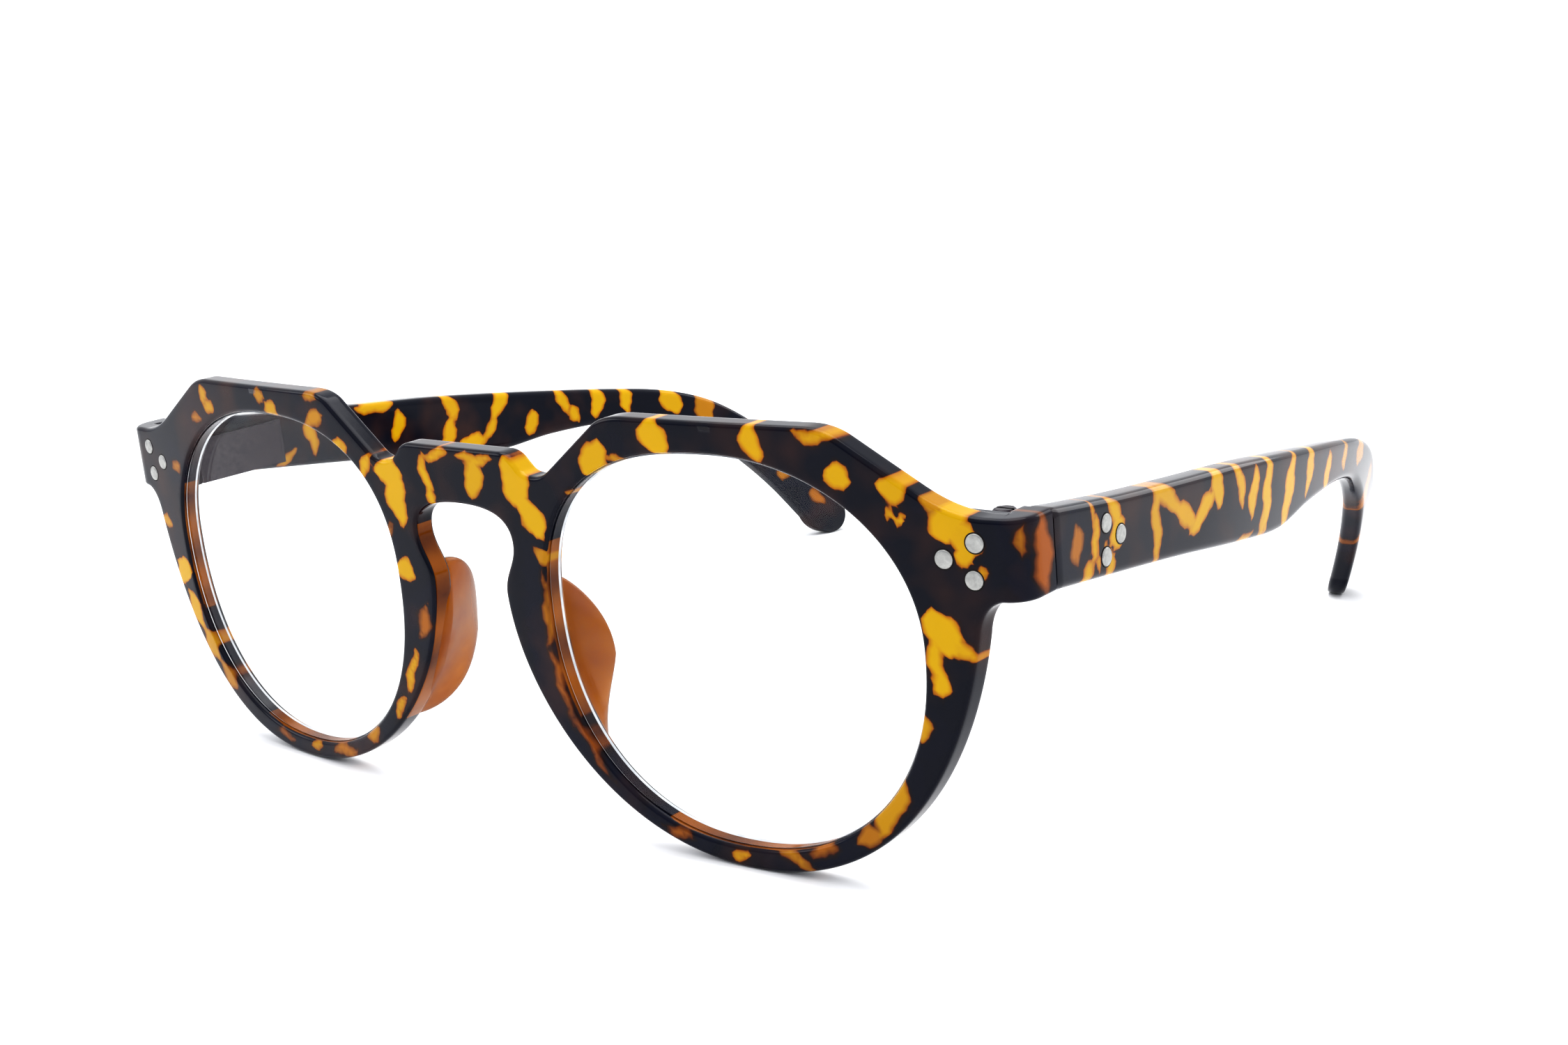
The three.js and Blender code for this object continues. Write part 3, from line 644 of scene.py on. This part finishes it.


# Brown for the light that gets through the plastic is painted on edges below GLOW_TOP, to GLOW_NOSE from
# the middle and inside the lens openings.
GLOW_TOP, GLOW_NOSE, GLOW_TONE = -4, 15, 0.9
WALL_MARGIN = 0.3  # the edges between the faces leave out this much of the thickness at each face


def build_front(shell):
    openings = [eye_outline(), eye_outline(side=-1)]
    flat, faces = rounded_plate(front_outline(), openings, FRONT_THICK, FRONT_ROUND)
    flat, faces = cut_square(flat, faces, FLAT_END)
    points = wrapped(flat)
    across, up = flat[:, 0], flat[:, 1]
    block, block_faces = hinge_block()
    for side in (1, -1):
        faces += [tuple(len(points) + k for k in f[::side]) for f in block_faces]
        points = np.vstack([points, block * [side, 1, 1]])
        across = np.r_[across, side * block[:, 0]]
        up = np.r_[up, block[:, 2]]
    front = new_object("front_shell", points, faces, shell)
    recalculated(front)
    depth, tone = patch_fields(np.abs(across), up, FRONT_LEFT)
    other, other_tone = patch_fields(np.abs(across), up, FRONT_RIGHT)
    depth = np.where(across >= 0, depth, other)
    tone = np.where(across >= 0, tone, other_tone)
    # It stands for the light that gets through the plastic beside the nose and below the lenses.
    through = np.r_[flat[:, 2], np.zeros(2 * len(block))]
    wall = (through > WALL_MARGIN) & (through < FRONT_THICK - WALL_MARGIN) & (up < GLOW_TOP)
    beside_nose = np.abs(across) < GLOW_NOSE
    at_lens = lens_reach(across, up) < 1.02
    glow = wall & (beside_nose | at_lens) & (depth < 0.45)
    glow_streaks = 0.12 + 0.2 * np.sin(0.9 * up + 0.5 * np.abs(across))
    depth = np.where(glow, glow_streaks, depth)
    tone = np.where(glow, GLOW_TONE, tone)
    paint(front.data, depth, tone)
    finished(front, "front", "tortoiseshell", "front_frame")


# ---- lenses ------------------------------------------------------------------------------------------
def build_lens(name, side, clear, edge):
    """Nested rings on both faces and a bevelled edge that goes into the rim.

    Both lists say how far each ring lies beyond the opening's outline; the edge's also gives its depth.
    """
    section = [(-0.16, 0.0), (0.05, 0.25), (0.3, 0.65), (0.3, 0.95), (0.05, 1.35), (-0.16, LENS_THICK)]
    rings = [-19, -14, -9, -5, -2.5, -1.2]
    rows = [(g, 0.0) for g in rings] + section + [(g, LENS_THICK) for g in rings[::-1]]
    points, faces = [], []
    for grow, depth in rows:
        ring = eye_outline(grow, side=side)
        points += [(x, face_y(x) + LENS_SEAT - LENS_THICK / 2 + depth, z) for x, z in ring]
    n = len(ring)
    for row in range(len(rows) - 1):
        for i in range(n):
            a, b = row * n + i, row * n + (i + 1) % n
            faces.append((a, a + n, b + n, b))
    faces.append(tuple(range(n)))
    faces.append(tuple((len(rows) - 1) * n + i for i in range(n))[::-1])
    lens = new_object("shown_" + name, points, faces, clear)
    recalculated(lens)
    lens.data.materials.append(edge)
    # The edge's band gets the grey-white painted highlight.
    band = range(len(rings) * n, (len(rings) + len(section) - 1) * n)
    for k in band:
        lens.data.polygons[k].material_index = 1
    finished(lens, "front", "lens", name)


# ---- nose pads ---------------------------------------------------------------------------------------
def pad_surface_x(z, depth):
    """The pad's nose side: beside the rim in front, and further from the middle at the back."""
    at_rim = 6.05 + 0.0285 * np.maximum(0, -11 - z) ** 2
    at_back = 10.5 - 0.02 * (z + 22) ** 2
    t = np.maximum(0, depth / PAD_DEPTH)
    return at_rim * (1 - t) + at_back * t


def build_pad(name, side, material):
    """A ball drawn out to the pad's height, thickness and depth."""
    rows, spokes = 48, 72
    polar = np.linspace(0, math.pi, rows + 1)[1:-1]
    around = np.arange(spokes) * 2 * math.pi / spokes
    ball = [(0, 1, 0)]
    ball += [(math.sin(p) * math.cos(a), math.cos(p), math.sin(p) * math.sin(a))
             for p in polar for a in around]
    ball.append((0, -1, 0))
    u, v, w = np.array(ball).T
    r = np.hypot(u, w)
    spread = np.where(r > 1e-6, np.maximum(r, 1e-6) ** (PAD_FULLNESS - 1), 0)
    z = PAD_Z + PAD_HALF_HEIGHT * u * spread
    # The lower half reaches less and less far back.
    lower = np.clip((PAD_Z - 1 - z) / PAD_HALF_HEIGHT, 0, 1)
    depth = np.where(w > 0, PAD_DEPTH * (1 - PAD_TAPER * lower), PAD_SEAT_BOW) * w * spread
    over = np.sign(v) * np.abs(v) ** PAD_FULLNESS
    x = pad_surface_x(z, depth) + PAD_THICK / 2 * (1 + over)
    points = np.c_[side * x, PAD_BASE + face_y(PAD_X) + depth, z]
    faces = []
    for i in range(spokes):
        j = (i + 1) % spokes
        faces.append((0, 1 + j, 1 + i))
        for row in range(len(polar) - 1):
            a = 1 + row * spokes
            faces.append((a + i, a + j, a + spokes + j, a + spokes + i))
        last = 1 + (len(polar) - 1) * spokes
        faces.append((last + i, last + j, len(ball) - 1))
    pad = new_object("shown_" + name, points, [f[::side] for f in faces], material)
    recalculated(pad)
    finished(pad, "front", "amber", name)


# ---- temples -----------------------------------------------------------------------------------------
def temple_x(y, z):
    """Distance from the middle of the temple's outer face."""
    bend = np.maximum(0, y * math.cos(HOOK_DIP) - z * math.sin(HOOK_DIP) - HOOK_START)
    return SIDE_X - TOE_IN * (y - END_BACK) - bend ** 2 / (2 * HOOK_RADIUS)


# Points of the bar's upper and lower outline, as distance behind the front and height.
TEMPLE_TOP = [
    (TEMPLE_START, 2.25), (24, 0.2), (38, -1.6), (52, -3.3), (64, -5.1), (75, -6.9), (86, -8.8),
    (96, -10.9), (104, -13.9), (110.5, -18.4), (116, -24.3), (120.3, -30.4), (123.2, -35.6),
]
TEMPLE_BOTTOM = [
    (TEMPLE_START, -5.8), (24, -7.7), (38, -9.8), (52, -12.2), (63.5, -13.9), (74, -13.5), (85, -14),
    (93.5, -15.6), (99.5, -18.2), (105, -22), (109, -26.2), (112.6, -31), (115.8, -36.6),
]


def spline(knots, t):
    """A Catmull-Rom curve through the knots, with t running from 0 to 1."""
    knots = np.array(knots, float)
    spot = t * (len(knots) - 1)
    k = min(int(spot), len(knots) - 2)
    f = spot - k
    a, b = knots[max(k - 1, 0)], knots[k]
    c, d = knots[k + 1], knots[min(k + 2, len(knots) - 1)]
    v0, v1 = (c - a) / 2, (d - b) / 2
    return (2 * b - 2 * c + v0 + v1) * f ** 3 + (-3 * b + 3 * c - 2 * v0 - v1) * f * f + v0 * f + b


def bar_section(half_height, half_thick, radius, arc=7, wall=12):
    """A rounded rectangle as (up, out) pairs, with points along its long sides for painting."""
    radius = min(radius, half_thick * 0.98, half_height * 0.98)
    points = []
    for quarter in range(4):
        sign_up = 1 if quarter in (0, 1) else -1
        sign_out = 1 if quarter in (0, 3) else -1
        for i in range(arc + 1):
            t = math.pi / 2 * (quarter + i / arc)
            points.append((sign_up * (half_height - radius) + radius * math.sin(t),
                           sign_out * (half_thick - radius) + radius * math.cos(t)))
        if quarter in (1, 3):
            end = np.array([-sign_up * (half_height - radius), points[-1][1]])
            start = np.array(points[-1])
            points += [tuple(start + (end - start) * k / wall) for k in range(1, wall)]
    return np.array(points)


# The rows of the rounded tip turn by TIP_TURN radians, reach TIP_REACH of the bar's half height onwards
# and lose TIP_THINNING of their thickness.
TIP_TURN, TIP_REACH, TIP_THINNING = 1.45, 0.98, 0.35
# The first rows are this much smaller all round, which rounds off the end at the hinge.
END_SHRINK = {0: 0.35, 1: 0.1}
END_SHIFT = 0.3  # the second row lies this much nearer to the first


def build_temple(name, side, shell, patches, body):
    bar_rows, tip_rows = 260, 16
    points, flat = [], []
    rows = bar_rows + tip_rows + 1
    for row in range(rows):
        along = min(1, row / bar_rows)
        turn = max(0, row - bar_rows) / tip_rows * TIP_TURN
        top, bottom = spline(TEMPLE_TOP, along), spline(TEMPLE_BOTTOM, along)
        half = (top - bottom) / 2
        onwards = np.array([half[1], -half[0]]) * TIP_REACH
        middle = (top + bottom) / 2
        thick = TEMPLE_THICK + (TEMPLE_TIP_THICK - TEMPLE_THICK) * along
        thick *= 1 - TIP_THINNING * (turn / TIP_TURN) ** 2
        height = np.linalg.norm(half)
        shrink = END_SHRINK.get(row, 0)
        section = bar_section(height - shrink, thick / 2 - shrink, TEMPLE_EDGE)
        for up, out in section:
            share = up / height * math.cos(turn)
            y, z = middle + half * share + onwards * math.sin(turn)
            if row == 1:
                y -= END_SHIFT
            flat.append((y, z))
            points.append((side * (temple_x(y, z) - TEMPLE_THICK / 2 + out), y, z))
    n = len(section)
    faces = []
    for row in range(rows - 1):
        for i in range(n):
            a, b = row * n + i, row * n + (i + 1) % n
            faces.append((a, b, b + n, a + n)[::side])
    faces.append(tuple(range(n))[::-side])
    faces.append(tuple((rows - 1) * n + i for i in range(n))[::side])
    temple = new_object("shown_" + name, points, faces, shell)
    recalculated(temple)
    across, up = np.array(flat).T
    depth, tone = patch_fields(across, up, patches)
    paint(temple.data, depth, tone)
    finished(temple, body, "tortoiseshell", name)


# ---- rivets ------------------------------------------------------------------------------------------
def build_rivet(node, spot, out, material, gap, body):
    """A slightly domed disc with a rounded edge and the gap round it, painted dark as shade; out is its
    axis.
    """
    axis = Vector(out).normalized()
    across = axis.orthogonal().normalized()
    over = axis.cross(across)
    spokes = 48
    points, faces = [], []
    for r, h in RIVET_OUTLINE:
        for k in range(spokes):
            a = 2 * math.pi * k / spokes
            points.append(Vector(spot) + axis * h + (across * math.cos(a) + over * math.sin(a)) * r)
    for row in range(len(RIVET_OUTLINE) - 1):
        for k in range(spokes):
            a, b = row * spokes + k, row * spokes + (k + 1) % spokes
            faces.append((a, b, b + spokes, a + spokes))
    faces.append(tuple(range(spokes))[::-1])
    faces.append(tuple((len(RIVET_OUTLINE) - 1) * spokes + k for k in range(spokes)))
    rivet = new_object("shown_" + node, points, faces, material)
    rivet.data.materials.append(gap)
    # The gap's two rows get the painted shade.
    for k in range(2 * spokes):
        rivet.data.polygons[k].material_index = 1
    recalculated(rivet)
    finished(rivet, body, "hinge_metal", node)


def build_rivets(metal, gap):
    for side, word in ((1, "left"), (-1, "right")):
        for place, (x, z) in FRONT_RIVETS.items():
            slope = FACE_CURVE * x
            spot, out = (side * x, face_y(x), z), (side * slope, -1, 0)
            build_rivet(f"front_rivet_{place}_{word}", spot, out, metal, gap, "front")
        for place, (y, z) in TEMPLE_RIVETS.items():
            spot = (side * float(temple_x(y, z)), y, z)
            out = (side, TOE_IN, 0)
            build_rivet(f"temple_rivet_{place}_{word}", spot, out, metal, gap, f"{word}_temple")


# ---- floor, light and hinges ---------------------------------------------------------------------------
FLOOR_SIZE = 40  # metres


def build_floor():
    material, tree, shader = new_material("paper", Specular_IOR_Level=0.2)
    color = mottled(tree, 30, [(0.3, (0.90, 0.90, 0.905)), (0.7, (0.915, 0.915, 0.915))])
    tree.links.new(color, shader.inputs["Base Color"])
    shader.inputs["Roughness"].default_value = 0.6
    bpy.ops.mesh.primitive_plane_add(size=FLOOR_SIZE, location=(0, 0, 0))
    floor = bpy.context.object
    floor.name = "floor"
    floor.data.materials.append(material)


def light_the_set():
    """A white studio, darker low down in front of the glasses, with contrast like the photograph's."""
    world = bpy.data.worlds.new("studio")
    world.use_nodes = True
    tree = world.node_tree
    background = tree.nodes["Background"]
    where = tree.nodes.new("ShaderNodeTexCoord")
    split = tree.nodes.new("ShaderNodeSeparateXYZ")
    tree.links.new(where.outputs["Generated"], split.inputs["Vector"])
    back_and_up = add_node(tree, "ShaderNodeMath", operation="MULTIPLY_ADD")
    back_and_up.inputs[1].default_value = 1.3
    tree.links.new(split.outputs["Z"], back_and_up.inputs[0])
    tree.links.new(split.outputs["Y"], back_and_up.inputs[2])
    sky = ramp(tree, [(0.0, (0.25, 0.26, 0.30)), (0.35, (0.80, 0.82, 0.90)), (0.7, (0.97, 0.98, 1.0))])
    spread = add_node(tree, "ShaderNodeMapRange", From_Min=-1.0, From_Max=1.0)
    tree.links.new(back_and_up.outputs[0], spread.inputs["Value"])
    tree.links.new(spread.outputs["Result"], sky.inputs["Fac"])
    tree.links.new(sky.outputs["Color"], background.inputs["Color"])
    background.inputs["Strength"].default_value = 1.0
    bpy.context.scene.world = world
    view = bpy.context.scene.view_settings
    view.view_transform = "Standard"
    view.look = "High Contrast"
    view.exposure = 0.0
    add_light("overhead", (-0.15, 0.10, 0.75), 0.7, 2.6)
    add_light("from_left", (-0.7, -0.5, 0.45), 0.4, 0.8)
    add_light("behind", (0.2, 0.9, 0.5), 0.6, 1.5)


def dress_metal(metal):
    """Gives the hinges' CAD nodes a finish."""
    for name, node in frame["nodes"].items():
        if name.startswith("hinge_"):
            node.data.materials.clear()
            node.data.materials.append(metal)


# ---- everything ----------------------------------------------------------------------------------------
def main():
    shell = tortoiseshell()
    metal = satin_metal("satin_silver", (0.30, 0.30, 0.29), (0.46, 0.46, 0.44))
    hinge_metal = satin_metal("dark_steel", (0.035, 0.03, 0.04), (0.07, 0.06, 0.065))
    pad_material = amber()
    clear = clear_lens()
    edge = lens_edge_highlight()
    build_front(shell)
    for side, word in ((1, "left"), (-1, "right")):
        build_lens(f"lens_{word}", side, clear, edge)
        build_pad(f"nose_pad_{word}", side, pad_material)
        patches = TEMPLE_LEFT if side > 0 else TEMPLE_RIGHT
        build_temple(f"temple_{word}", side, shell, patches, f"{word}_temple")
    build_rivets(metal, painted_gap_shade())
    dress_metal(hinge_metal)
    build_floor()
    light_the_set()
    add_camera()


main()
